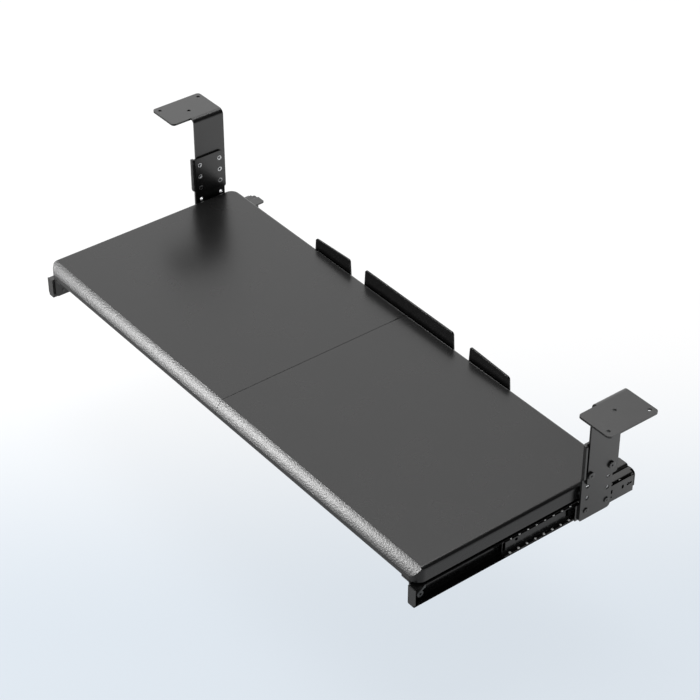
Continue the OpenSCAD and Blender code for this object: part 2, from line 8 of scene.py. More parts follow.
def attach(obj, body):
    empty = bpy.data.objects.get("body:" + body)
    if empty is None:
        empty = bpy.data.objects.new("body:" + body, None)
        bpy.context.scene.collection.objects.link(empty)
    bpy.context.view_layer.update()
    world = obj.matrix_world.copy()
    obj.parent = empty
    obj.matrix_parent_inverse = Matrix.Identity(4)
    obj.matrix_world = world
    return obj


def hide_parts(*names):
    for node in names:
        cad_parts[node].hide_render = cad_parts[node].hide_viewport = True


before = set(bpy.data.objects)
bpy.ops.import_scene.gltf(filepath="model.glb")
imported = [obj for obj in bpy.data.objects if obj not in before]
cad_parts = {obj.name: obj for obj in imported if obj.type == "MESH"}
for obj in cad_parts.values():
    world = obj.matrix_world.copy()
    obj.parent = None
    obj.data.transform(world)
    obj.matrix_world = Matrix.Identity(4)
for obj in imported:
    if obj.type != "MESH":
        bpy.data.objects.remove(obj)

bl_info = {
    "name": "Under-desk keyboard tray",
    "version": (1, 0, 0),
    "blender": (4, 5, 0),
    "location": "3D View > Sidebar > Keyboard tray",
    "description": "Models and finishes a slide-out keyboard tray that hangs under a desk",
    "category": "Object",
}

MM = 0.001
MIRROR = Matrix.Scale(-1, 4, (1, 0, 0))

# Turns that point a piece made about Z to the right, to the left and down
FACE_RIGHT = Matrix.Rotation(math.radians(90), 4, "Y")
FACE_LEFT = Matrix.Rotation(math.radians(-90), 4, "Y")
FACE_DOWN = Matrix.Rotation(math.pi, 4, "X")

# Places that several pieces share, in millimetres or in shares of the board's depth
BOLTS = (-4.5, 24.5)
TOP_ROW, ROW_STEP = -63.5, 16
HEIGHT_ROWS = [TOP_ROW - ROW_STEP * i for i in range(5)]
BOLT_ROW = HEIGHT_ROWS[2]
BALL_X, BALL_Z = 342.2, 9.55
CHANNEL_SCREW_X = 324.75
CHANNEL_SCREW_SHARES = (0.06, 0.36, 0.66, 0.93)
STOP_REACH = 176.2


def mm_size(name, value, text):
    """A length property whose default is written in millimetres."""
    return bpy.props.FloatProperty(
        name=name, description=text, default=value * MM, unit="LENGTH", precision=5
    )


def finish_colour(name, value, text):
    """A colour property whose default is an sRGB hex value."""
    return bpy.props.FloatVectorProperty(
        name=name, description=text, default=linear(value), subtype="COLOR", size=4, min=0, max=1
    )


def linear(hex_value):
    """Turns an sRGB hex colour into linear red, green, blue and alpha."""
    parts = [int(hex_value[i : i + 2], 16) / 255 for i in (1, 3, 5)]
    return tuple([c / 12.92 if c <= 0.04045 else ((c + 0.055) / 1.055) ** 2.4 for c in parts] + [1.0])


# Sizes that a user would change


class BoardSizes(bpy.types.PropertyGroup):
    """Sizes of the two-part board."""

    half_length: mm_size("Half length", 343, "From the middle of the board to its side")
    front: mm_size("Front", -227, "Front face of the board")
    back: mm_size("Back", 41, "Back face of the board")
    top: mm_size("Top", -111, "Top of the board")
    thickness: mm_size("Thickness", 19, "Thickness of the board")
    corner: mm_size("Corner radius", 12, "Radius of the corners seen from above")
    edge: mm_size("Edge radius", 4.5, "Radius of the upper edge at the sides and the back")
    palm_run: mm_size("Palm edge depth", 9, "Depth of the sloping palm edge")
    palm_drop: mm_size("Palm edge height", 12.5, "Height of the sloping palm edge")
    palm_bulge: mm_size("Palm edge bulge", 0.9, "How far the palm edge stands off a flat slope")
    seam: mm_size("Seam", 0.6, "Gap between the two halves")
    film: finish_colour("Film", "#131313", "Satin film on the board")
    palm: finish_colour("Palm edge", "#232323", "Pebbled film on the palm edge")


class SteelSizes(bpy.types.PropertyGroup):
    """Sizes of the brackets and the steel under the board."""

    sheet: mm_size("Bracket sheet", 2.5, "Thickness of the bracket steel")
    under: mm_size("Under sheet", 2, "Thickness of the steel under the board")
    leg_inner: mm_size("Leg", 349.4, "Inner face of the upper bracket's leg")
    plate_width: mm_size("Desk plate", 52, "Width of the desk plate from the leg outwards")
    plate_half: mm_size("Desk plate half length", 34.3, "Half of the desk plate's length")
    leg_width: mm_size("Leg width", 42.5, "Width of the leg from front to back")
    leg_length: mm_size("Leg length", 108.5, "Length of the leg below the desk")
    powder: finish_colour("Powder coat", "#0a0a0a", "Black powder coat on the brackets")


class SlideSizes(bpy.types.PropertyGroup):
    """Sizes of the ball-bearing slides."""

    web: mm_size("Rail web", 333.5, "Inner face of the rail under the tray")
    middle: mm_size("Rail middle", -144.75, "Height of the middle of the rails")
    front: mm_size("Rail front", -229.5, "Front end of the rail under the tray")
    rear: mm_size("Rail rear", 70.5, "Rear end of the rail under the tray")
    height: mm_size("Rail height", 24.5, "Height of the rail under the tray")
    sheet: mm_size("Rail sheet", 1.1, "Thickness of the rail steel")
    ball: mm_size("Ball", 3.1, "Diameter of a bearing ball")
    pitch: mm_size("Ball pitch", 11.65, "Spacing of the balls")
    coat: finish_colour("Rail coat", "#0c0c0c", "Black coat on the rails")
    cage: finish_colour("Cage coat", "#1c1c1c", "Dark grey coat on the ball cages")


class StageLook(bpy.types.PropertyGroup):
    """The camera, floor and lights."""

    focal: bpy.props.FloatProperty(
        name="Focal length", description="Focal length on a 36 mm sensor", default=110.6, unit="CAMERA"
    )
    key: bpy.props.FloatProperty(
        name="Main light", description="Power of the main soft light", default=42.0, unit="POWER"
    )
    room: bpy.props.FloatProperty(
        name="Room light", description="Strength of the even light of the room", default=0.95, min=0
    )
    floor: finish_colour("Floor", "#dbe3eb", "Front of the pale floor")


# Modelling by hand, in small steps


def in_mm(*lengths):
    """Lengths in metres as millimetres, rounded to what was written."""
    return [round(length / MM, 4) for length in lengths]


def along(start, end, shares):
    """Places at these shares of the way from start to end."""
    return [start + (end - start) * share for share in shares]


def to_object_mode():
    """Leaves edit mode."""
    if bpy.context.object and bpy.context.object.mode != "OBJECT":
        bpy.ops.object.mode_set(mode="OBJECT")


def deselect():
    """Selects nothing, so that an operator acts only on what comes next."""
    to_object_mode()
    bpy.ops.object.select_all(action="DESELECT")


def pick(*pieces):
    """Selects only these pieces and makes the last one active."""
    deselect()
    for piece in pieces:
        piece.select_set(True)
        bpy.context.view_layer.objects.active = piece


def throw_away(piece):
    """Deletes a piece that was only needed on the way."""
    pick(piece)
    bpy.ops.object.delete()


def settle(name):
    """Names the primitive that was just added and puts its place, turn and scale into its mesh."""
    piece = bpy.context.object
    piece.name = piece.data.name = name
    pick(piece)
    bpy.ops.object.transform_apply(location=True, rotation=True, scale=True)
    return piece


def block(name, low, high):
    """A block between two opposite corners, in millimetres."""
    deselect()
    middle = [(a + b) / 2 * MM for a, b in zip(low, high)]
    size = [abs(b - a) * MM for a, b in zip(low, high)]
    bpy.ops.mesh.primitive_cube_add(size=1, location=middle, scale=size)
    return settle(name)


def rod(name, axis, start, end, across, radius, sides=32):
    """A round bar along X or Z; across is its place on the other two axes."""
    deselect()
    place = {"X": ((start + end) / 2, *across), "Z": (*across, (start + end) / 2)}[axis]
    turn = {"X": (0, math.pi / 2, 0), "Z": (0, 0, 0)}[axis]
    bpy.ops.mesh.primitive_cylinder_add(
        vertices=sides,
        radius=radius * MM,
        depth=abs(end - start) * MM,
        location=[c * MM for c in place],
        rotation=turn,
    )
    return settle(name)


def turned(name, rings, sides=32):
    """A turned piece about Z: circles of (radius, height) in millimetres, extruded and scaled in turn."""
    deselect()
    radius, height = rings[0]
    bpy.ops.mesh.primitive_circle_add(
        vertices=sides, radius=radius * MM, fill_type="NGON", location=(0, 0, height * MM)
    )
    piece = settle(name)
    choose(piece, "FACE", lambda face: True)
    for wide, high in rings[1:]:
        extrude(0, 0, high - height)
        share = wide / radius
        bpy.ops.transform.resize(value=(share, share, 1), center_override=(0, 0, high * MM))
        radius, height = wide, high
    face_out(piece)
    return piece


def strip(name, section, low_y, high_y):
    """A bent sheet's face along Y: its section is (x, z) points in millimetres, extruded in turn."""
    deselect()
    bpy.ops.mesh.primitive_plane_add(size=1)
    piece = settle(name)
    (x0, z0), (x1, z1) = section[:2]
    corners = [(x0, low_y, z0), (x1, low_y, z1), (x0, high_y, z0), (x1, high_y, z1)]
    for vertex in piece.data.vertices:
        index = (1 if vertex.co.x > 0 else 0) + (2 if vertex.co.y > 0 else 0)
        vertex.co = Vector(corners[index]) * MM
    choose(piece, "EDGE", lambda e: lies_at(e, 0, x1) and lies_at(e, 2, z1))
    for (xa, za), (xb, zb) in zip(section[1:], section[2:]):
        extrude(xb - xa, 0, zb - za)
    to_object_mode()
    return piece


def arc(cx, cz, radius, start, end, steps):
    """Points of an arc, in degrees from +X towards +Z."""
    angles = [math.radians(start + (end - start) * i / steps) for i in range(steps + 1)]
    return [(cx + radius * math.cos(a), cz + radius * math.sin(a)) for a in angles]


def choose(piece, kind, test):
    """Selects the vertices, edges or faces of a piece that pass a test, in edit mode."""
    if bpy.context.view_layer.objects.active != piece or piece.mode != "EDIT":
        pick(piece)
        bpy.ops.object.mode_set(mode="EDIT")
    bpy.ops.mesh.select_mode(type=kind)
    bpy.ops.mesh.select_all(action="DESELECT")
    mesh = bmesh.from_edit_mesh(piece.data)
    for part in {"VERT": mesh.verts, "EDGE": mesh.edges, "FACE": mesh.faces}[kind]:
        if test(part):
            part.select_set(True)
    mesh.select_flush_mode()
    bmesh.update_edit_mesh(piece.data)


def extrude(dx, dy, dz):
    """Extrudes what is chosen by a step in millimetres."""
    step = (dx * MM, dy * MM, dz * MM)
    bpy.ops.mesh.extrude_region_move(TRANSFORM_OT_translate={"value": step})


def lies_at(edge, axis, value):
    """Whether both ends of an edge have this value in millimetres on axis 0, 1 or 2."""
    return all(abs(vertex.co[axis] - value * MM) < 1e-6 for vertex in edge.verts)


def runs(edge, axis):
    """How far an edge runs along axis 0, 1 or 2, in millimetres."""
    return abs(edge.verts[0].co[axis] - edge.verts[1].co[axis]) / MM


def middle_of(edge):
    """The middle of an edge, in millimetres."""
    return (edge.verts[0].co + edge.verts[1].co) / 2 / MM


def round_off(piece, kind, test, radius, steps):
    """Bevels the chosen edges, or the chosen corners of a flat sheet."""
    choose(piece, kind, test)
    affect = "EDGES" if kind == "EDGE" else "VERTICES"
    bpy.ops.mesh.bevel(offset=radius * MM, segments=steps, affect=affect, clamp_overlap=False)
    to_object_mode()


def round_corner(piece, point, radius, steps=8):
    """Rounds one corner of a flat sheet."""
    spot = Vector(point) * MM
    round_off(piece, "VERT", lambda v: (v.co - spot).length < 2e-5, radius, steps)


def apply_modifier(piece, kind, **settings):
    """Adds a modifier with its settings and applies it."""
    pick(piece)
    modifier = piece.modifiers.new(kind.title(), kind)
    for key, value in settings.items():
        setattr(modifier, key, value)
    bpy.ops.object.modifier_apply(modifier=modifier.name)


def face_out(piece):
    """Merges doubled points and turns all faces outwards."""
    pick(piece)
    bpy.ops.object.mode_set(mode="EDIT")
    bpy.ops.mesh.select_all(action="SELECT")
    bpy.ops.mesh.remove_doubles(threshold=1e-6)
    bpy.ops.mesh.normals_make_consistent(inside=False)
    to_object_mode()


def thicken_inward(piece, thickness, inside):
    """Gives a sheet its thickness on the side where a given point, in millimetres, lies."""
    spot = Vector(inside) * MM
    facing = sum(p.area * (1 if (spot - p.center).dot(p.normal) > 0 else -1) for p in piece.data.polygons)
    side = 1.0 if facing > 0 else -1.0
    apply_modifier(piece, "SOLIDIFY", thickness=thickness * MM, offset=side, use_even_offset=True)
    face_out(piece)


def cut_with(piece, cutters, how="DIFFERENCE"):
    """Cuts a piece with closed shapes, or unites them with it, and throws them away."""
    tool = joined("cutter", cutters)
    apply_modifier(piece, "BOOLEAN", object=tool, operation=how, solver="EXACT")
    throw_away(tool)


def soften(piece, width=0.25, steps=2, smooth=40, over=35):
    """Breaks the sharp edges a little, so that they catch the light, and shades the curves smooth."""
    apply_modifier(
        piece,
        "BEVEL",
        width=width * MM,
        segments=steps,
        limit_method="ANGLE",
        angle_limit=math.radians(over),
        use_clamp_overlap=True,
    )
    pick(piece)
    bpy.ops.object.shade_smooth_by_angle(angle=math.radians(smooth))
    apply_modifier(piece, "WEIGHTED_NORMAL", keep_sharp=True, weight=100)


def joined(name, pieces):
    """Joins pieces into one mesh."""
    pick(*reversed(pieces))
    if len(pieces) > 1:
        bpy.ops.object.join()
    whole = bpy.context.object
    whole.name = whole.data.name = name
    return whole


def copied(piece, matrix):
    """A copy with its own mesh, moved and turned in the mesh."""
    pick(piece)
    bpy.ops.object.duplicate(linked=False)
    twin = bpy.context.object
    twin.data.transform(matrix)
    if matrix.determinant() < 0:
        bpy.ops.mesh.customdata_custom_splitnormals_clear()
        bpy.ops.object.mode_set(mode="EDIT")
        bpy.ops.mesh.select_all(action="SELECT")
        bpy.ops.mesh.flip_normals()
        to_object_mode()
        apply_modifier(twin, "WEIGHTED_NORMAL", keep_sharp=True, weight=100)
    return twin


def repeated(name, piece, spots, turn):
    """Turned copies of a piece at spots in millimetres, joined; the piece itself is thrown away."""
    twins = [copied(piece, Matrix.Translation(Vector(spot) * MM) @ turn) for spot in spots]
    throw_away(piece)
    return joined(name, twins)


def pair(right, kind, body, materials):
    """Makes a right-hand piece's left-hand twin and hands in both."""
    left = copied(right, MIRROR)
    for piece, side in ((right, "right"), (left, "left")):
        hand_in(piece, f"{side}_{kind}", body.format(side=side), materials)


def hand_in(piece, node_name, body, materials):
    """Names a finished piece, gives it its finish and lets it stand for a CAD node."""
    piece.name = piece.data.name = f"{node_name}_finished"
    if not isinstance(materials, (list, tuple)):
        materials = [materials]
    if len(piece.data.materials) != len(materials):
        piece.data.materials.clear()
        for material in materials:
            piece.data.materials.append(material)
    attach(piece, body)
    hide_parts(node_name)


# Finishes


def add(tree, kind, inputs=None, **settings):
    """Adds a shader node, with its settings, its values and its links."""
    item = tree.nodes.new(kind)
    for key, value in settings.items():
        setattr(item, key, value)
    for key, value in (inputs or {}).items():
        if isinstance(value, bpy.types.NodeSocket):
            tree.links.new(value, item.inputs[key])
        else:
            item.inputs[key].default_value = value
    return item


def new_material(name):
    """An empty material, or the finished one of that name and no tree to fill."""
    material = bpy.data.materials.get(name)
    if material:
        return material, None
    material = bpy.data.materials.new(name)
    material.use_nodes = True
    material.node_tree.nodes.clear()
    return material, material.node_tree


def scaled(colour, share):
    """A linear colour made lighter or darker by a share."""
    return tuple([min(1.0, c * share) for c in colour[:3]] + [1.0])


def finish(name, shades, gloss, tone, relief=None, stretch=(1, 1, 1), grit=0.5, **values):
    """A finish with two noises: one moves its colour and roughness, the other raises its surface.

    shades is the darker and the lighter colour and gloss the lowest and highest roughness. tone is
    a lump's size in millimetres and its detail, and relief adds its depth in millimetres and its
    strength. stretch draws the lumps out, grit roughens the relief and values go to the shader.
    """
    material, tree = new_material(name)
    if not tree:
        return material
    place = add(tree, "ShaderNodeTexCoord").outputs["Object"]
    place = add(tree, "ShaderNodeMapping", {"Vector": place, "Scale": stretch}).outputs["Vector"]
    lumps = {"Vector": place, "Scale": 1000 / tone[0], "Detail": tone[1]}
    pattern = add(tree, "ShaderNodeTexNoise", lumps).outputs["Fac"]
    ramp = add(tree, "ShaderNodeMapRange", {"Value": pattern, "From Min": 0.35, "From Max": 0.65})
    mixed = {0: ramp.outputs["Result"], 6: shades[0], 7: shades[1]}
    tint = add(tree, "ShaderNodeMix", mixed, data_type="RGBA").outputs[2]
    rough = add(tree, "ShaderNodeMapRange", {"Value": pattern, "To Min": gloss[0], "To Max": gloss[1]})
    inputs = {"Base Color": tint, "Roughness": rough.outputs["Result"], **values}
    if relief:
        size, detail, depth, strength = relief
        lumps = {"Vector": place, "Scale": 1000 / size, "Detail": detail, "Roughness": grit}
        height = add(tree, "ShaderNodeTexNoise", lumps).outputs["Fac"]
        raised = {"Height": height, "Distance": depth * MM, "Strength": strength}
        inputs["Normal"] = add(tree, "ShaderNodeBump", raised).outputs["Normal"]
    shader = add(tree, "ShaderNodeBsdfPrincipled", inputs)
    add(tree, "ShaderNodeOutputMaterial", {"Surface": shader.outputs["BSDF"]})
    return material


def satin_film(colour):
    """Fibreboard wrapped in black PVC film: an even satin that mirrors its surroundings softly."""
    shades = scaled(colour, 0.94), scaled(colour, 1.06)
    # Film grain of about 0.35 mm is too fine to show, so it is drawn at 0.9 mm
    relief = (0.9, 2, 0.02, 0.35)
    return finish("Black satin PVC film", shades, (0.25, 0.29), (60, 3), relief, IOR=1.5)


def pebbled_film(colour):
    """Moulded palm edge with a leather-like pebble that scatters the light into sparks."""
    material, tree = new_material("Pebbled black palm edge")
    if not tree:
        return material
    place = add(tree, "ShaderNodeTexCoord").outputs["Object"]
    # Pebbles of about 1.2 mm are too fine to show, so they are drawn at 1.7 mm
    cells = {"Vector": place, "Scale": 1000 / 1.7}
    pebbles = add(tree, "ShaderNodeTexVoronoi", cells, feature="SMOOTH_F1").outputs["Distance"]
    pores = {"Vector": place, "Scale": 1000 / 1.4}
    fine = add(tree, "ShaderNodeTexNoise", pores).outputs["Fac"]
    height = add(tree, "ShaderNodeMath", {0: pebbles, 1: fine}, operation="ADD").outputs[0]
    ramp = add(tree, "ShaderNodeMapRange", {"Value": pebbles, "From Min": 0.1, "From Max": 0.7})
    mixed = {0: ramp.outputs["Result"], 6: scaled(colour, 1.12), 7: scaled(colour, 0.8)}
    tint = add(tree, "ShaderNodeMix", mixed, data_type="RGBA").outputs[2]
    rough = add(tree, "ShaderNodeMapRange", {"Value": fine, "To Min": 0.36, "To Max": 0.46})
    raised = {"Height": height, "Distance": 0.3 * MM, "Strength": 0.6}
    inputs = {"Base Color": tint, "Roughness": rough.outputs["Result"], "IOR": 1.5}
    inputs["Normal"] = add(tree, "ShaderNodeBump", raised).outputs["Normal"]
    shader = add(tree, "ShaderNodeBsdfPrincipled", inputs)
    add(tree, "ShaderNodeOutputMaterial", {"Surface": shader.outputs["BSDF"]})
    return material


def powder_coat(colour):
    """Black polyester powder baked on steel: a fine orange peel of about 0.8 mm and a soft sheen."""
    shades = scaled(colour, 0.92), scaled(colour, 1.08)
    relief = (0.8, 2, 0.02, 0.5)
    return finish("Black powder-coated steel", shades, (0.27, 0.32), (25, 2), relief, grit=0.6, IOR=1.68)


def smooth_coat():
    """Smooth black powder on the stop plate: deep black, and glossy enough to mirror the board."""
    shades = linear("#050505"), linear("#070707")
    relief = (1.6, 2, 0.01, 0.3)
    return finish("Smooth black powder-coated steel", shades, (0.18, 0.23), (1.6, 2), relief, IOR=1.36)


def electro_coat(colour):
    """Cold-rolled rail steel in a thin black electro-coat, with faint rolling lines along the rail."""
    shades = scaled(colour, 0.9), scaled(colour, 1.12)
    relief = (1.2, 2, 0.006, 0.3)
    lengthwise = (1, 0.02, 1)
    return finish(
        "Black electro-coated rail steel", shades, (0.15, 0.21), (1.2, 2), relief, lengthwise, IOR=1.62
    )


def cage_coat(colour):
    """Pressed cage strip in a smooth dark grey coat that mirrors its surroundings."""
    shades = scaled(colour, 0.9), scaled(colour, 1.1)
    relief = (1.5, 3, 0.006, 0.3)
    return finish("Grey coated cage strip", shades, (0.18, 0.24), (1.5, 3), relief, IOR=1.42)


def ball_steel():
    """Hardened bearing balls, polished, with a thin film of grease that dulls them in patches."""
    shades = linear("#e6e6e4"), linear("#fafaf8")
    return finish("Polished bearing steel", shades, (0.2, 0.34), (1.2, 2), Metallic=0.45)


def black_zinc():
    """Screw steel under a black zinc plate and clear seal: the seal gives it a plain, even sheen."""
    shades = linear("#141414"), linear("#1b1b1b")
    relief = (1, 3, 0.01, 0.3)
    return finish("Black zinc-plated steel", shades, (0.27, 0.34), (1, 3), relief, IOR=1.7)


def bright_zinc():
    """Press-in nuts with a bright zinc plate left bare, which glints against the black steel."""
    shades = linear("#dfe1e3"), linear("#f6f7f8")
    relief = (1, 3, 0.01, 0.3)
    return finish("Bright zinc-plated steel", shades, (0.3, 0.42), (1, 3), relief, Metallic=1.0)


def moulded_grey():
    """Injection-moulded acetal, dark grey and faintly waxy."""
    shades = linear("#464646"), linear("#525252")
    relief = (2.5, 2, 0.01, 0.3)
    return finish("Moulded grey acetal", shades, (0.42, 0.52), (2.5, 2), relief, IOR=1.48)


def turned_beech():
    """Turned beech dowel: pale matt wood with its grain drawn out along X."""
    shades = linear("#b98f5f"), linear("#d9b98a")
    relief = (1, 3, 0.03, 0.5)
    lengthwise = (0.08, 1, 1)
    return finish("Turned beech", shades, (0.6, 0.6), (1, 3), relief, lengthwise, IOR=1.5)


def floor_finish(colour):
    """Plain backdrop, matt where it takes light, that pales from grey-blue in front to white behind the
    tray; camera and mirror rays see it mostly as a glow, and mirror rays see a painted reflection.
    """
    material, tree = new_material("Plain pale floor")
    if not tree:
        return material
    eased = {"interpolation_type": "SMOOTHSTEP"}
    place = add(tree, "ShaderNodeTexCoord").outputs["Object"]
    distance = {0: place, 1: (-0.789, 0.614, 0)}
    away = add(tree, "ShaderNodeVectorMath", distance, operation="DOT_PRODUCT").outputs["Value"]
    fade = {"Value": away, "From Min": -0.3, "From Max": 0.32}
    pale = add(tree, "ShaderNodeMapRange", fade, **eased).outputs["Result"]
    tint = add(tree, "ShaderNodeMix", {0: pale, 6: colour, 7: (1, 1, 1, 1)}, data_type="RGBA").outputs[2]
    # Painted reflection with painted shade: mirrored in the black parts the backdrop is white behind the
    # tray and greyer in front of it
    depth = add(tree, "ShaderNodeSeparateXYZ", {"Vector": place}).outputs["Y"]
    front = {"Value": depth, "From Min": -0.25, "From Max": -0.05, "To Min": 0.42, "To Max": 0.66}
    near = add(tree, "ShaderNodeMapRange", front, **eased).outputs["Result"]
    rear = {"Value": depth, "From Min": 0.15, "From Max": 0.25, "To Min": 0.0, "To Max": 0.34}
    far = add(tree, "ShaderNodeMapRange", rear, **eased).outputs["Result"]
    painted_reflection = add(tree, "ShaderNodeMath", {0: near, 1: far}, operation="ADD").outputs[0]
    # Mirror rays get the painted reflection in place of the tint, while the camera sees the tint
    path = add(tree, "ShaderNodeLightPath").outputs
    seen = {0: path["Is Glossy Ray"], 6: tint, 7: painted_reflection}
    plain = add(tree, "ShaderNodeMix", seen, data_type="RGBA").outputs[2]
    glow = add(tree, "ShaderNodeEmission", {"Color": plain, "Strength": 1.0}).outputs[0]
    matt = add(tree, "ShaderNodeBsdfDiffuse", {"Color": tint}).outputs[0]
    rays = {0: path["Is Camera Ray"], 1: path["Is Glossy Ray"]}
    direct = add(tree, "ShaderNodeMath", rays, operation="MAXIMUM").outputs[0]
    share = add(tree, "ShaderNodeMath", {0: direct, 1: 0.9}, operation="MULTIPLY").outputs[0]
    mix = add(tree, "ShaderNodeMixShader", {0: share, 1: matt, 2: glow}).outputs[0]
    add(tree, "ShaderNodeOutputMaterial", {"Surface": mix})
    return material


# The pieces


def pan_screw(name, head, shank, recess, dome):
    """A pan-head screw that points down, with the underside of its head at height 0.

    head and shank are a radius and a length, recess is the width and the depth of the cross, and
    dome is the share of the head's height that is rounded.
    """
    (radius, height), (shank_radius, length), (cross, depth) = head, shank, recess
    edge, flat = height * dome, radius * 0.3
    crown = arc(radius - edge, height - edge, edge, 0, 90, 3)
    rings = [(shank_radius, -length), (shank_radius, 0), (radius, 0)] + crown + [(flat, height)]
    screw = turned(name, rings, 40)
    reach, half = cross / 2, cross / 8
    for turn in (0, 90):
        bar = block("bar", (-reach, -half, height - depth), (reach, half, height + 1))
        # Each arm of the cross tapers towards its bottom
        for vertex in bar.data.vertices:
            if vertex.co.z < height * MM:
                vertex.co.x *= 0.55
                vertex.co.y *= 0.75
        bar.data.transform(Matrix.Rotation(math.radians(turn), 4, "Z"))
        cut_with(screw, [bar])
    soften(screw, 0.1, 2, 35, 50)
    return screw


class TRAY_OT_stage(bpy.types.Operator):
    """Place the camera, the floor and the soft studio light"""

    bl_idname = "tray.stage"
    bl_label = "Stage"

    def execute(self, context):
        look = context.scene.tray_stage
        scene = context.scene
        scene.view_settings.view_transform = "Standard"
        eye = Vector((1.5366, -1.2387, 1.3168))
        ahead = Vector((-0.6343, 0.4938, -0.5948))
        bpy.ops.object.camera_add(location=eye, rotation=ahead.to_track_quat("-Z", "Y").to_euler())
        camera = context.object
        camera.name = "photo_camera"
        camera.data.sensor_width = 36
        camera.data.lens = look.focal
        camera.data.clip_end = 30
        scene.camera = camera

        deselect()
        wide, level = 16, -0.32
        bpy.ops.mesh.primitive_plane_add(size=wide, location=(0, 0, level))
        floor = settle("floor")
        floor.data.materials.append(floor_finish(look.floor))

        self.room(scene, look.room)
        self.lamp("overhead", (-0.5, 0.3, 2.6), (0, 0, -0.1), 1.6, look.key)
        self.lamp("front", (-1.19, -1.66, 0.44), (0.08, -0.22, -0.12), 0.5, look.key * 1.5)
        self.lamp("back", (-3.4, 2.2, 2.45), (0, 0, -0.1), 2.4, look.key * 0.2)
        return {"FINISHED"}

    def room(self, scene, strength):
        """The even light of the room, with two darker sides."""
        world = bpy.data.worlds.new("Soft room")
        scene.world = world
        world.use_nodes = True
        tree = world.node_tree
        tree.nodes.clear()
        eased = {"interpolation_type": "SMOOTHSTEP"}
        way = add(tree, "ShaderNodeTexCoord").outputs["Generated"]
        # A dark panel behind the right shoulder of the tray draws its edges
        shoulder = {0: way, 1: (0.6, 0.49, 0.63)}
        facing = add(tree, "ShaderNodeVectorMath", shoulder, operation="DOT_PRODUCT").outputs["Value"]
        fade = {"Value": facing, "From Min": 0.55, "From Max": 0.88, "To Min": 1.0, "To Max": 0.04}
        panel = add(tree, "ShaderNodeMapRange", fade, **eased).outputs["Result"]
        # The room in front of the tray is dimmer, so that its upright front faces stay near black
        forward = add(tree, "ShaderNodeSeparateXYZ", {"Vector": way}).outputs["Y"]
        dim = {"Value": forward, "From Min": -0.7, "From Max": -0.2, "To Min": 0.45, "To Max": 1.0}
        front = add(tree, "ShaderNodeMapRange", dim, **eased).outputs["Result"]
        both = add(tree, "ShaderNodeMath", {0: panel, 1: front}, operation="MULTIPLY").outputs[0]
        light = add(tree, "ShaderNodeMath", {0: both, 1: strength}, operation="MULTIPLY").outputs[0]
        glow = add(tree, "ShaderNodeBackground", {"Color": (1, 1, 1, 1), "Strength": light})
        add(tree, "ShaderNodeOutputWorld", {"Surface": glow.outputs[0]})

    def lamp(self, name, place, target, size, power):
        """A square softbox at a place, turned to its target."""
        turn = (Vector(target) - Vector(place)).to_track_quat("-Z", "Y").to_euler()
        bpy.ops.object.light_add(type="AREA", location=place, rotation=turn)
        lamp = bpy.context.object
        lamp.name = f"{name}_softbox"
        lamp.data.size = size
        lamp.data.energy = power


class TRAY_OT_board(bpy.types.Operator):
    """Make the two halves of the board, with their pebbled palm edge"""

    bl_idname = "tray.board"
    bl_label = "Board"

    def execute(self, context):
        size = context.scene.tray_board
        half, front, back, top, thick = in_mm(
            size.half_length, size.front, size.back, size.top, size.thickness
        )
        corner, edge, run, drop, bulge = in_mm(
            size.corner, size.edge, size.palm_run, size.palm_drop, size.palm_bulge
        )
        (seam,) = in_mm(size.seam / 2)
        low = top - thick
        board = block("board", (seam, front, low), (half, back, top))
        round_off(board, "EDGE", lambda e: runs(e, 2) > 10 and middle_of(e).x > 300, corner, 14)
        round_off(board, "EDGE", lambda e: lies_at(e, 2, top) and middle_of(e).x > seam + 0.1, edge, 7)
        round_off(board, "EDGE", lambda e: lies_at(e, 2, low) and middle_of(e).x > seam + 0.1, 1, 3)
        round_off(board, "EDGE", lambda e: lies_at(e, 2, top) and lies_at(e, 0, seam), 0.8, 3)

        # The palm edge: the front corner less a large barrel leaves a slightly bulging slope
        brow = Vector((0, front + run, top))
        chin = Vector((0, front, top - drop))
        chord = (brow - chin).length
        radius = chord * chord / (8 * bulge) + bulge / 2
        out = Vector((0, -drop, run)) / chord
        hub = (brow + chin) / 2 - out * (radius - bulge)
        wedge = block("wedge", (seam - 2, front - 1, top - drop), (half + 2, front + run, top + 1))
        cut_with(wedge, [rod("barrel", "X", seam - 3, half + 3, (hub.y, hub.z), radius, 240)])
        cut_with(board, [wedge])
        face_out(board)
        finishes = [satin_film(size.film), pebbled_film(size.palm)]
        for material in finishes:
            board.data.materials.append(material)
        for face in board.data.polygons:
            y, z = face.center.y / MM, face.center.z / MM
            at_front = y < front + run + 0.4 and z > top - drop - 0.4
            slopes = face.normal.y < -0.4 and face.normal.z > 0.25 and abs(face.normal.x) < 0.1
            face.material_index = int(at_front and slopes)
        soften(board, 0.3, 2, 35, 50)
        pair(board, "board", "tray", finishes)
        return {"FINISHED"}


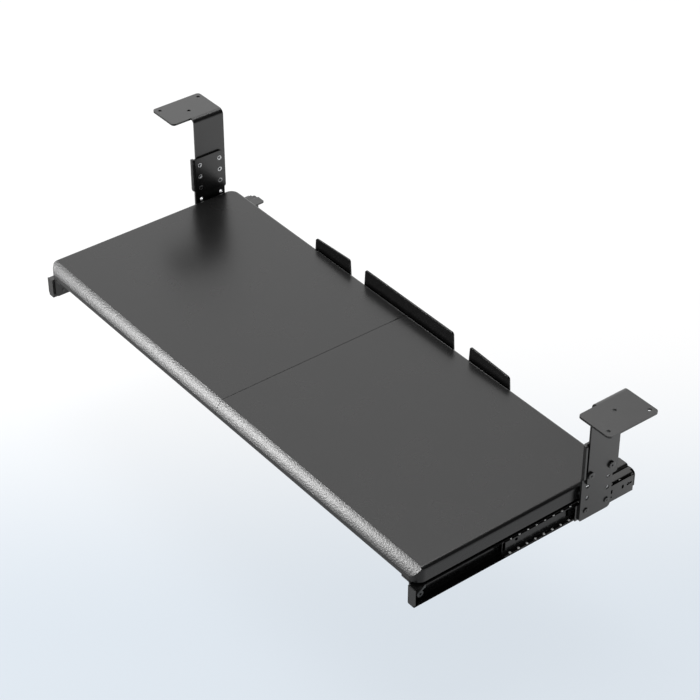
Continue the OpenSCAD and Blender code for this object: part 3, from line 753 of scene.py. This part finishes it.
class TRAY_OT_stops(bpy.types.Operator):
    """Make the keyboard stop plate behind the board, and the joining plate under it"""

    bl_idname = "tray.stops"
    bl_label = "Stop plate and joining plate"

    def execute(self, context):
        board, steel = context.scene.tray_board, context.scene.tray_steel
        top, thick, back, sheet = in_mm(board.top, board.thickness, board.back, steel.under)
        low = top - thick
        face = back + 0.3
        middle, gap = 81.5, 105.8
        tall, outer_tall, outer_low = top + 18.2, top + 16.2, top + 12.7
        tabs = [
            (-middle, middle, tall, tall),
            (gap, STOP_REACH, outer_tall, outer_low),
            (-STOP_REACH, -gap, outer_low, outer_tall),
        ]
        parts = [self.tab(*tab, low, face, sheet) for tab in tabs]
        parts.append(block("foot", (-STOP_REACH, back - 38, low - sheet), (STOP_REACH, back - 3, low)))
        plate = joined("stop_plate", parts)
        soften(plate, 0.25, 2, 40)
        hand_in(plate, "rear_stop_plate", "tray", smooth_coat())

        half, near, far = 60, -187, -147
        join = block("join", (-half, near, low - sheet), (half, far, low))
        round_off(join, "EDGE", lambda e: runs(e, 2) > 1, 4, 6)
        soften(join)
        hand_in(join, "joining_plate", "tray", smooth_coat())
        return {"FINISHED"}

    def tab(self, left, right, tall_left, tall_right, low, face, sheet):
        """One upturned tab: a strip folded up from the foot, drawn in towards its top."""
        fold, draw, corner = 2.2, 2.4, 3
        bend = arc(face + sheet - fold, low - sheet + fold, fold, -90, 0, 6)
        tab = strip("tab", [(face - 5.3, low - sheet)] + bend + [(face + sheet, low + 1)], left, right)
        # The strip was drawn along Y, so its X and Y change places
        for vertex in tab.data.vertices:
            vertex.co.x, vertex.co.y = vertex.co.y, vertex.co.x
        choose(tab, "EDGE", lambda e: lies_at(e, 2, low + 1))
        extrude(0, 0, min(tall_left, tall_right) - low - 1)
        to_object_mode()
        crest = max(v.co.z for v in tab.data.vertices)
        for vertex in tab.data.vertices:
            if abs(vertex.co.z - crest) < 1e-6:
                at_left = abs(vertex.co.x - left * MM) < 1e-6
                vertex.co.z = (tall_left if at_left else tall_right) * MM
                vertex.co.x += draw * MM if at_left else -draw * MM
        tops = [v.co.copy() / MM for v in tab.data.vertices if v.co.z > (low + 10) * MM]
        for point in tops:
            round_corner(tab, point, corner, 6)
        thicken_inward(tab, sheet, ((left + right) / 2, face - 20, low + 20))
        return tab


class TRAY_OT_channels(bpy.types.Operator):
    """Fold the side channels that carry the slides under the board"""

    bl_idname = "tray.channels"
    bl_label = "Side channels"

    def execute(self, context):
        board, steel, slides = context.scene.tray_board, context.scene.tray_steel, context.scene.tray_slides
        top, thick, front, back = in_mm(board.top, board.thickness, board.front, board.back)
        sheet, web = in_mm(steel.under, slides.web)
        low = top - thick
        flange, foot, rear, bend, bore = 318, -155.5, 70, 3, 1.83
        section = [(flange, low)] + arc(web - bend, low - bend, bend, 90, 0, 6) + [(web, foot)]
        channel = strip("channel", section, front, rear)
        for y in (front, rear):
            round_corner(channel, (flange, y, low), 3)
            round_corner(channel, (web, y, foot), 4)
        thicken_inward(channel, sheet, (325, 0, -145))
        places = [(CHANNEL_SCREW_X, y) for y in along(front, back, CHANNEL_SCREW_SHARES)]
        cut_with(channel, [rod("hole", "Z", low - 5, low + 5, place, bore, 24) for place in places])
        soften(channel)
        pair(channel, "side_channel", "tray", powder_coat(steel.powder))
        return {"FINISHED"}


class TRAY_OT_rails(bpy.types.Operator):
    """Roll the rails under the tray, with their ball races, end lips, rivets and bumper"""

    bl_idname = "tray.rails"
    bl_label = "Tray rails"

    def execute(self, context):
        size = context.scene.tray_slides
        mid, web, sheet = in_mm(size.middle, size.web, size.sheet)
        front, rear, tall = in_mm(size.front, size.rear, size.height)
        base, crown, out, past = mid - tall / 2, mid + tall / 2, 344.4, 346
        race, bend = 2.7, 1.5
        upper = arc(web + bend, tall / 2 - bend, bend, 180, 90, 5) + arc(BALL_X, BALL_Z, race, 90, 55, 5)
        section = [(x, mid - z) for x, z in reversed(upper)] + [(x, mid + z) for x, z in upper]
        rail = strip("rail", section, front, rear)
        thicken_inward(rail, sheet, (338, 0, mid))
        # At the rear the lower race ends 6 mm early and the upper race 3.5 mm early
        cut_with(rail, [block("notch", (web + sheet, rear - 6, base - 1), (past, rear + 1, base + 3))])
        cut_with(rail, [block("notch", (BALL_X - 3.2, rear - 3.5, crown - 3), (past, rear + 1, crown + 1))])
        lip = block("lip", (web, front, base + 1), (out, front + sheet, crown - 0.6))
        round_off(lip, "EDGE", lambda e: runs(e, 1) > 0.5 and middle_of(e).z < mid, 3.9, 8)
        rear_lip = block("rear_lip", (web, rear - sheet, base + 3), (out, rear, crown))

        def at_open_side(edge):
            return runs(edge, 1) > 0.5 and middle_of(edge).x > out - 0.4

        round_off(rear_lip, "EDGE", lambda e: at_open_side(e) and middle_of(e).z > mid, 6, 8)
        round_off(rear_lip, "EDGE", lambda e: at_open_side(e) and middle_of(e).z < mid, 3, 8)
        rail = joined("rail", [rail, lip, rear_lip])
        soften(rail, 0.18, 2, 45, 50)
        pair(rail, "tray_rail", "tray", electro_coat(size.coat))

        head = turned("rivet", [(1.6, -3.1), (1.6, 0), (3.2, 0), (3.2, 0.6), (2.9, 0.95), (2.5, 1.1)], 24)
        tail = turned("tail", [(1.6, 0), (3.52, 0), (3.52, 0.65), (3.2, 1.05), (2.8, 1.2)], 24)
        (under,) = in_mm(context.scene.tray_steel.under)
        spots = along(front, rear, (0.45, 0.68, 0.93))
        heads = repeated("heads", head, [(web + sheet, y, mid) for y in spots], FACE_RIGHT)
        tails = repeated("tails", tail, [(web - under, y, mid) for y in spots], FACE_LEFT)
        rivets = joined("rivets", [heads, tails])
        soften(rivets, 0.08, 1)
        pair(rivets, "rail_rivets", "tray", black_zinc())

        self.bumper(web + sheet, front + 12.5, mid - 4.4)
        return {"FINISHED"}

    def bumper(self, x, y, z):
        """Moulded ring with a tail, on its pin."""
        thick, outer, bore, shaft = 3.4, 3.9, 1.5, 1.4
        ring = rod("ring", "X", x, x + thick, (y, z), outer, 40)
        tail = block("tail", (x, y - 1, z + 2.6), (x + thick, y + 6.8, z + 9))
        round_off(tail, "EDGE", lambda e: runs(e, 0) > 1 and middle_of(e).y > y, 1, 4)
        # The tail slants: its front rises underneath and its back sinks on top
        for vertex in tail.data.vertices:
            if vertex.co.z < (z + 5) * MM and vertex.co.y > (y + 3) * MM:
                vertex.co.z += 2.6 * MM
            if vertex.co.z > (z + 5) * MM and vertex.co.y < y * MM:
                vertex.co.z -= 5.4 * MM
        cut_with(ring, [tail], "UNION")
        cut_with(ring, [rod("eye", "X", x + 1, x + 5, (y, z), bore, 24)])
        pin = rod("pin", "X", x - 3.9, x + 0.2, (y, z), shaft, 24)
        bumper = joined("bumper", [ring, pin])
        soften(bumper, 0.3)
        pair(bumper, "bumper", "tray", moulded_grey())


class TRAY_OT_cages(bpy.types.Operator):
    """Press the ball cages and fill them with balls"""

    bl_idname = "tray.cages"
    bl_label = "Ball cages and balls"

    def execute(self, context):
        size = context.scene.tray_slides
        mid, pitch, radius = in_mm(size.middle, size.pitch, size.ball / 2)
        front, rear, web, open_edge, half, sheet, bend = -111, 68, 338.6, 344, 9.95, 0.8, 1.2
        upper = arc(web + bend, half - bend, bend, 180, 90, 4) + [(open_edge, half)]
        section = [(x, mid - z) for x, z in reversed(upper)] + [(x, mid + z) for x, z in upper]
        cage = strip("cage", section, front, rear)
        thicken_inward(cage, sheet, (342, 0, mid))
        first_ball, count = -102.3, 14
        spots = [first_ball + i * pitch for i in range(count)]
        cutters = [rod("pocket", "Z", mid - 12, mid + 12, (BALL_X, y), radius + 0.05, 20) for y in spots]
        # Openings in the web, by the front and the length of each
        for y, length in ((-110.4, 4), (-23, 3.6), (62.4, 3.6)):
            slot = block("slot", (web - 1, y, mid - 5.5), (web + 2, y + length, mid + 5.5))
            round_off(slot, "EDGE", lambda e: runs(e, 0) > 2, 1, 4)
            cutters.append(slot)
        cutters.append(rod("hole", "X", web - 1, web + 2, (-91.4, mid + 1.2), 2, 24))
        cut_with(cage, cutters)
        soften(cage, 0.08, 1, 40, 50)
        pair(cage, "ball_cage", "{side}_cage", cage_coat(size.cage))

        deselect()
        bpy.ops.mesh.primitive_uv_sphere_add(segments=20, ring_count=12, radius=radius * MM)
        ball = settle("ball")
        bpy.ops.object.shade_smooth()
        places = [(BALL_X, y, mid + z) for y in spots for z in (-BALL_Z, BALL_Z)]
        balls = repeated("balls", ball, places, Matrix())
        pair(balls, "balls", "{side}_cage", ball_steel())
        return {"FINISHED"}


class TRAY_OT_short_rails(bpy.types.Operator):
    """Form the short rails on the lower brackets"""

    bl_idname = "tray.short_rails"
    bl_label = "Short rails"

    def execute(self, context):
        size = context.scene.tray_slides
        (mid,) = in_mm(size.middle)
        front, rear, face, out, half, rib_edge = -17, 66, 345.8, 346.9, 10.2, 341.4
        before, behind = face - 1.8, out + 1.1
        plate = block("plate", (face, front, mid - half), (out, rear, mid + half))
        for low, high in ((-7.95, -6.85), (6.85, 7.95)):
            rib = block("rib", (rib_edge, front, mid + low), (face + 0.5, rear, mid + high))
            cut_with(plate, [rib], "UNION")
        holes = [rod("hole", "X", before, behind, (y, mid), 1.68, 24) for y in BOLTS]
        for y, wide, low, high in ((rear - 31.5, 2.2, 0.6, 6), (rear - 15.4, 3, -0.2, 4.8)):
            slot = block("slot", (before, y - wide / 2, mid + low), (behind, y + wide / 2, mid + high))
            round_off(slot, "EDGE", lambda e: runs(e, 0) > 2, wide / 2 - 0.1, 5)
            holes.append(slot)
        holes.append(rod("hole", "X", before, behind, (rear - 31.5, mid - 4), 1, 20))
        cut_with(plate, holes)
        # The key slot: a round hole that narrows towards the rear
        cut_with(plate, [rod("hole", "X", before, behind, (rear - 7.8, mid + 2.4), 1.9, 24)])
        cut_with(plate, [block("slot", (before, rear - 7.8, mid + 1.3), (behind, rear - 2.5, mid + 3.5))])
        soften(plate, 0.12)
        pair(plate, "short_rail", "brackets", electro_coat(size.coat))
        return {"FINISHED"}


class TRAY_OT_lower_brackets(bpy.types.Operator):
    """Bend the lower brackets, with their guide lips and the seats of the press-in nuts"""

    bl_idname = "tray.lower_brackets"
    bl_label = "Lower brackets"

    def execute(self, context):
        steel = context.scene.tray_steel
        leg, sheet = in_mm(steel.leg_inner, steel.sheet)
        (mid,) = in_mm(context.scene.tray_slides.middle)
        inner = leg - sheet
        low, lip_low, top = -155.95, -98.5, -53.5
        front, foot_front, back, bend, lip_out = -11.15, -13, 30.5, 3.3, 353
        plate = strip("plate", [(inner, low), (inner, lip_low), (inner, top)], front, back)
        choose(plate, "EDGE", lambda e: lies_at(e, 1, front) and middle_of(e).z > lip_low)
        points = arc(inner + bend, front, bend, 180, 270, 6) + [(lip_out, front - bend)]
        for (xa, ya), (xb, yb) in zip(points, points[1:]):
            extrude(xb - xa, yb - ya, 0)
        choose(plate, "EDGE", lambda e: lies_at(e, 1, front) and middle_of(e).z < lip_low)
        extrude(0, foot_front - front, 0)
        to_object_mode()
        round_corner(plate, (inner, foot_front, low), 3)
        round_corner(plate, (inner, back, low), 5)
        round_corner(plate, (inner, back, top), 6)
        round_corner(plate, (lip_out, front - bend, lip_low), 3, 6)
        round_corner(plate, (lip_out, front - bend, top), 2, 5)
        thicken_inward(plate, sheet, (351, 5, -100))
        round_off(plate, "EDGE", lambda e: middle_of(e).x > lip_out - 0.05 and runs(e, 2) > 10, 1.1, 5)
        before, behind, seat, bore = 344, 352, 2.88, 1.68
        holes = [rod("hole", "X", before, behind, (y, z), seat, 28) for y in BOLTS for z in HEIGHT_ROWS]
        holes += [rod("hole", "X", before, behind, (y, mid), bore, 24) for y in BOLTS]
        cut_with(plate, holes)
        soften(plate, 0.3)
        pair(plate, "lower_bracket", "brackets", powder_coat(steel.powder))

        # Screws that hold the short rail, heads outside
        screw = pan_screw("rail_screw", (3.4, 1.3), (1.6, 5), (2.8, 0.6), 0.4)
        screws = repeated("rail_screws", screw, [(leg, y, mid) for y in BOLTS], FACE_RIGHT)
        pair(screws, "rail_screws", "brackets", black_zinc())
        return {"FINISHED"}


class TRAY_OT_upper_brackets(bpy.types.Operator):
    """Bend the upper brackets from the leg to the desk plate"""

    bl_idname = "tray.upper_brackets"
    bl_label = "Upper brackets"

    def execute(self, context):
        steel = context.scene.tray_steel
        sheet, leg, half, foot = in_mm(steel.sheet, steel.leg_inner, steel.plate_half, -steel.leg_length)
        width, leg_width = in_mm(steel.plate_width, steel.leg_width)
        far, leg_front = leg + width, half - leg_width
        bend, plate_in, corner, bore = 6.5, 356, 4.5, 2.25
        section = [(leg, foot)] + arc(leg + bend, -bend, bend, 180, 90, 8) + [(plate_in, 0), (far, 0)]
        bracket = strip("bracket", section, leg_front, half)
        choose(bracket, "EDGE", lambda e: lies_at(e, 1, leg_front) and middle_of(e).x > plate_in + 4)
        extrude(0, -half - leg_front, 0)
        for point in ((far, half, 0), (far, -half, 0), (plate_in, -half, 0)):
            round_corner(bracket, point, corner)
        for y in (leg_front, half):
            round_corner(bracket, (leg, y, foot), 3)
        thicken_inward(bracket, sheet, (370, 10, -60))
        holes = [rod("hole", "X", leg - 2, leg + sheet + 2, (y, BOLT_ROW), bore, 28) for y in BOLTS]
        outer_hole, inner_hole = far - 8, far - 29
        for spot in ((outer_hole, -28), (outer_hole, 28), (inner_hole, 0)):
            holes.append(rod("hole", "Z", -5, 5, spot, bore))
        cut_with(bracket, holes)
        soften(bracket, 0.3)
        pair(bracket, "upper_bracket", "brackets", powder_coat(steel.powder))
        return {"FINISHED"}


class TRAY_OT_bolts(bpy.types.Operator):
    """Turn the height bolts and the nuts that are pressed into the lower brackets"""

    bl_idname = "tray.bolts"
    bl_label = "Height bolts and nuts"

    def execute(self, context):
        steel = context.scene.tray_steel
        leg, sheet = in_mm(steel.leg_inner, steel.sheet)
        bolt = pan_screw("bolt", (4.3, 2.3), (2, 5.5), (3, 1), 0.3)
        bolts = repeated("bolts", bolt, [(leg + sheet, y, BOLT_ROW) for y in BOLTS], FACE_RIGHT)
        pair(bolts, "height_bolts", "brackets", black_zinc())

        # One nut with an M4 thread: bright in its bore and on its inner face, coated outside
        length, crest, root, pitch = 2, 2.03, 2.4, 0.7
        nut = rod("nut", "Z", 0, length, (0, 0), 2.8)
        rings = [(crest, -1)]
        for i in range(3):
            rings += [(crest, 0.1 + i * pitch), (root, 0.1 + (i + 0.4) * pitch)]
        cut_with(nut, [turned("bore", rings + [(crest, length - 0.1), (crest, length + 1)])])
        for material in (powder_coat(steel.powder), bright_zinc()):
            nut.data.materials.append(material)
        for face in nut.data.polygons:
            in_bore = math.hypot(face.center.x, face.center.y) < (root + 0.02) * MM
            seat = face.center.z < 0.01 * MM
            face.material_index = int(seat or in_bore and abs(face.normal.z) < 0.95)
        places = [(leg - sheet, y, z) for y in BOLTS for z in HEIGHT_ROWS]
        nuts = repeated("nuts", nut, places, FACE_RIGHT)
        pair(nuts, "height_nuts", "brackets", list(nuts.data.materials))
        return {"FINISHED"}


class TRAY_OT_screws(bpy.types.Operator):
    """Drive the screws that hold the steel to the board"""

    bl_idname = "tray.screws"
    bl_label = "Board screws"

    def execute(self, context):
        board, steel = context.scene.tray_board, context.scene.tray_steel
        top, thick, front, back = in_mm(board.top, board.thickness, board.front, board.back)
        under = top - thick - in_mm(steel.under)[0]
        rows = along(front, back, CHANNEL_SCREW_SHARES)
        stop_row, stop_shares = 17, (0.22, 0.55, 0.88)
        join_x, join_y, join_step = 45, -167, 10
        sides = (-1, 1)
        channel = [(side * CHANNEL_SCREW_X, y) for side in sides for y in rows]
        stops = [(side * share * STOP_REACH, stop_row) for side in sides for share in stop_shares]
        join = [(side * join_x, join_y + way * join_step) for side in sides for way in sides]
        for name, spots in (("channel_screws", channel), ("plate_screws", stops + join)):
            screw = pan_screw("screw", (3.5, 1.9), (1.75, 12), (3.85, 1.14), 0.45)
            group = repeated(name, screw, [(*spot, under) for spot in spots], FACE_DOWN)
            hand_in(group, name, "tray", black_zinc())
        return {"FINISHED"}


class TRAY_OT_dowels(bpy.types.Operator):
    """Give the dowels between the two halves of the board their beech"""

    bl_idname = "tray.dowels"
    bl_label = "Dowels"

    def execute(self, context):
        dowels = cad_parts["board_dowels"]
        dowels.data.materials.clear()
        dowels.data.materials.append(turned_beech())
        return {"FINISHED"}


class TRAY_PT_sidebar(bpy.types.Panel):
    """Lists the tray's pieces and sizes"""

    bl_label = "Keyboard tray"
    bl_idname = "TRAY_PT_sidebar"
    bl_space_type = "VIEW_3D"
    bl_region_type = "UI"
    bl_category = "Keyboard tray"

    def draw(self, context):
        for kind in PIECES:
            self.layout.operator(kind.bl_idname)
        for group in SETTINGS:
            column = self.layout.column()
            settings = getattr(context.scene, group)
            for key in settings.__annotations__:
                column.prop(settings, key)


SETTINGS = {
    "tray_board": BoardSizes,
    "tray_steel": SteelSizes,
    "tray_slides": SlideSizes,
    "tray_stage": StageLook,
}
PIECES = [
    TRAY_OT_stage,
    TRAY_OT_board,
    TRAY_OT_stops,
    TRAY_OT_channels,
    TRAY_OT_rails,
    TRAY_OT_cages,
    TRAY_OT_short_rails,
    TRAY_OT_lower_brackets,
    TRAY_OT_upper_brackets,
    TRAY_OT_bolts,
    TRAY_OT_screws,
    TRAY_OT_dowels,
]


def register():
    for kind in [*SETTINGS.values(), *PIECES, TRAY_PT_sidebar]:
        bpy.utils.register_class(kind)
    for name, kind in SETTINGS.items():
        setattr(bpy.types.Scene, name, bpy.props.PointerProperty(type=kind))


def unregister():
    for name in SETTINGS:
        delattr(bpy.types.Scene, name)
    for kind in [TRAY_PT_sidebar, *reversed(PIECES), *reversed(list(SETTINGS.values()))]:
        bpy.utils.unregister_class(kind)


def main():
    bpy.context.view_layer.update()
    bpy.ops.object.select_all(action="DESELECT")
    register()
    for kind in PIECES:
        area, name = kind.bl_idname.split(".")
        getattr(getattr(bpy.ops, area), name)()


if __name__ == "__main__":
    main()
